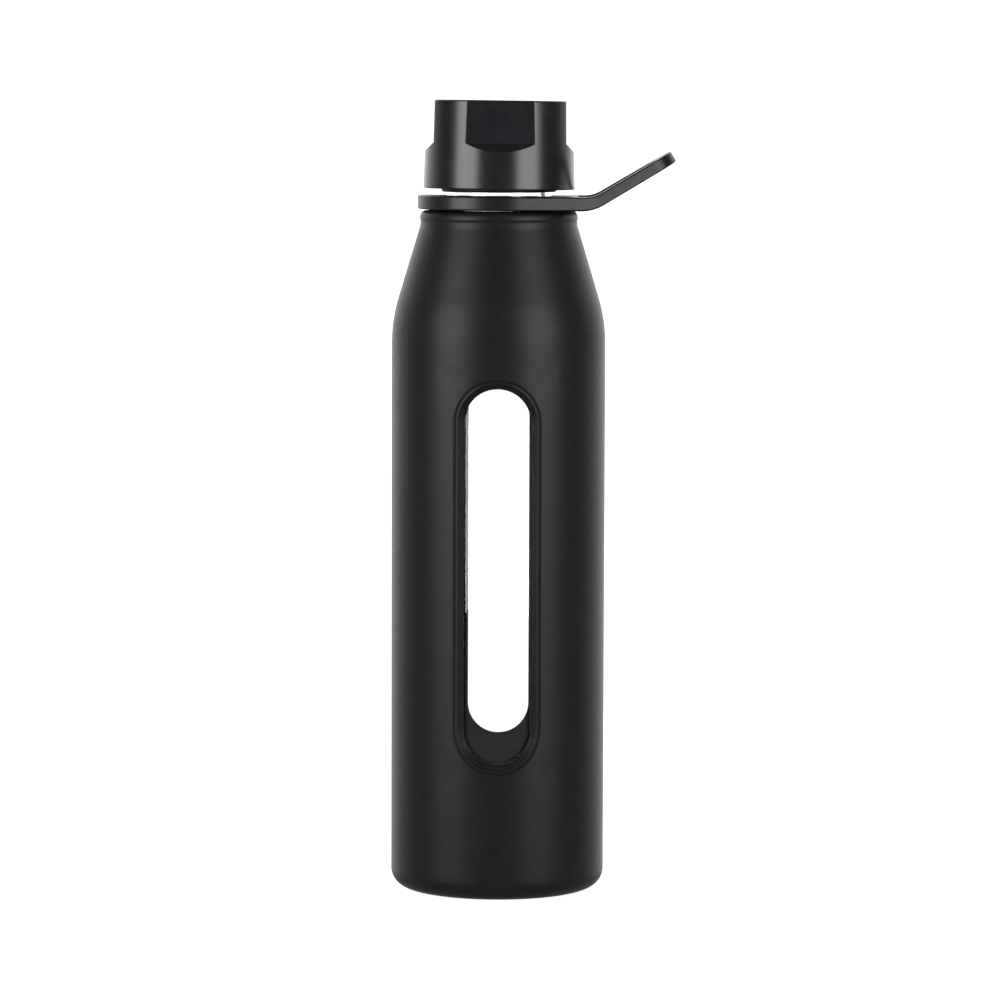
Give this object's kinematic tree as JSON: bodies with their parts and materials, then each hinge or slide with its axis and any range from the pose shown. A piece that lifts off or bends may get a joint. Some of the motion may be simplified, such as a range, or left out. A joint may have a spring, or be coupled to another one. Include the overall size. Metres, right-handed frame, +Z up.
{
  "type": "glass water bottle",
  "caption": "Glass water bottle in a windowed silicone sleeve, with a flatted screw cap and a carry strap that swivels on its neck.",
  "frame": {"origin": "centre of the flat pad in the middle of the sleeve's base, on the bottle's axis", "axes": "+Z up along the bottle's axis; the windows face -Y and +Y; the strap's finger loop points to +X at rest"},
  "size_m": [0.0976, 0.0744, 0.273],
  "materials": {
    "glass": "clear, smooth",
    "silicone": "matte black silicone, very fine texture",
    "strap_plastic": "satin black moulded plastic",
    "cap_plastic": "semi-gloss black moulded plastic",
    "liner_plastic": "smooth black plastic",
    "gasket_silicone": "translucent white silicone"
  },
  "bodies": {
    "bottle": {"glass_bottle": "glass", "silicone_sleeve": "silicone"},
    "strap": {"carry_strap": "strap_plastic"},
    "seal": {"cap_gasket": "gasket_silicone"},
    "cap": {"cap_shell": "cap_plastic", "cap_liner": "liner_plastic"}
  },
  "joints": [
    {"name": "strap_swivel", "type": "hinge", "parent": "bottle", "child": "strap", "pos_m": [0, 0, 0.238], "axis": [0, 0, 1], "continuous": true},
    {"name": "cap_rise", "type": "slide", "parent": "bottle", "child": "seal", "axis": [0, 0, 1], "range_m": [0, 0.0063]},
    {"name": "cap_twist", "type": "hinge", "parent": "seal", "child": "cap", "pos_m": [0, 0, 0.2426], "axis": [0, 0, 1], "range_deg": [0, 540]}
  ],
  "couplings": [
    {"joint": "cap_rise", "follows": "cap_twist", "m_per_rad": 0.00066845}
  ]
}
